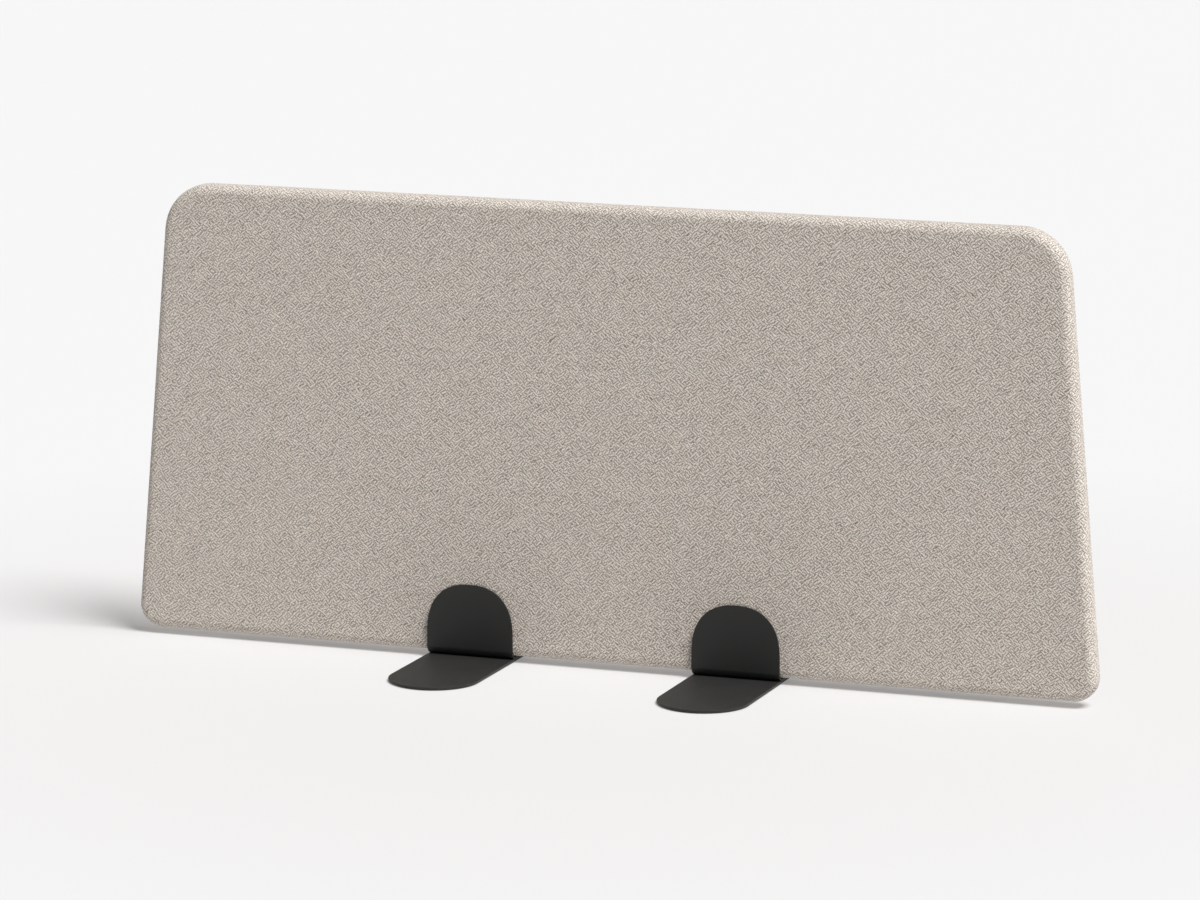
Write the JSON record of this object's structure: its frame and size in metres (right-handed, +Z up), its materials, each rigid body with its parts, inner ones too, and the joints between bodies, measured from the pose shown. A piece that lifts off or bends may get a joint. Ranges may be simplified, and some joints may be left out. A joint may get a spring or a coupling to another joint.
{
  "type": "acoustic divider screen",
  "caption": "Free-standing desk screen: a cloth-covered acoustic panel with leaning ends and rounded corners, held in bent steel feet that slide along its lower edge.",
  "frame": {"origin": "on the desk surface, below the middle of the panel's thickness and width", "axes": "+X along the panel to the right as seen from the front, +Y from the front face to the back face, +Z up"},
  "size_m": [1.5932, 0.49, 0.7345],
  "materials": {
    "cover_cloth": "coarse woven wool, beige melange",
    "wadding": "white polyester wadding",
    "absorber": "dense fibre felt slab",
    "frame_wood": "planed pine",
    "frame_plywood": "birch plywood",
    "dowel_wood": "grooved beech",
    "closing_strip": "woven webbing",
    "zinc_steel": "zinc plated",
    "black_steel": "fine matt black powder coat",
    "felt_liner": "thin black felt",
    "floor_rubber": "matt black anti-slip sheet"
  },
  "bodies": {
    "screen": {"cover_front": "cover_cloth", "cover_back": "cover_cloth", "wadding_front": "wadding", "wadding_back": "wadding", "absorber_left": "absorber", "absorber_middle": "absorber", "absorber_right": "absorber", "top_rail": "frame_wood", "bottom_rail": "frame_wood", "left_stile": "frame_wood", "right_stile": "frame_wood", "left_post": "frame_wood", "right_post": "frame_wood", "top_left_block": "frame_plywood", "top_right_block": "frame_plywood", "bottom_left_block": "frame_plywood", "bottom_right_block": "frame_plywood", "frame_dowels": "dowel_wood", "post_screws": "zinc_steel", "underside_strip": "closing_strip", "strip_staples": "zinc_steel"},
    "left_foot": {"left_base_plate": "black_steel", "left_bracket": "black_steel", "left_liner": "felt_liner", "left_floor_sheet": "floor_rubber", "left_foot_screws": "zinc_steel"},
    "right_foot": {"right_base_plate": "black_steel", "right_bracket": "black_steel", "right_liner": "felt_liner", "right_floor_sheet": "floor_rubber", "right_foot_screws": "zinc_steel"}
  },
  "joints": [
    {"name": "left_foot_slide", "type": "slide", "parent": "screen", "child": "left_foot", "axis": [1, 0, 0], "range_m": [-0.44, 0.14]},
    {"name": "right_foot_slide", "type": "slide", "parent": "screen", "child": "right_foot", "axis": [1, 0, 0], "range_m": [-0.14, 0.44]}
  ]
}
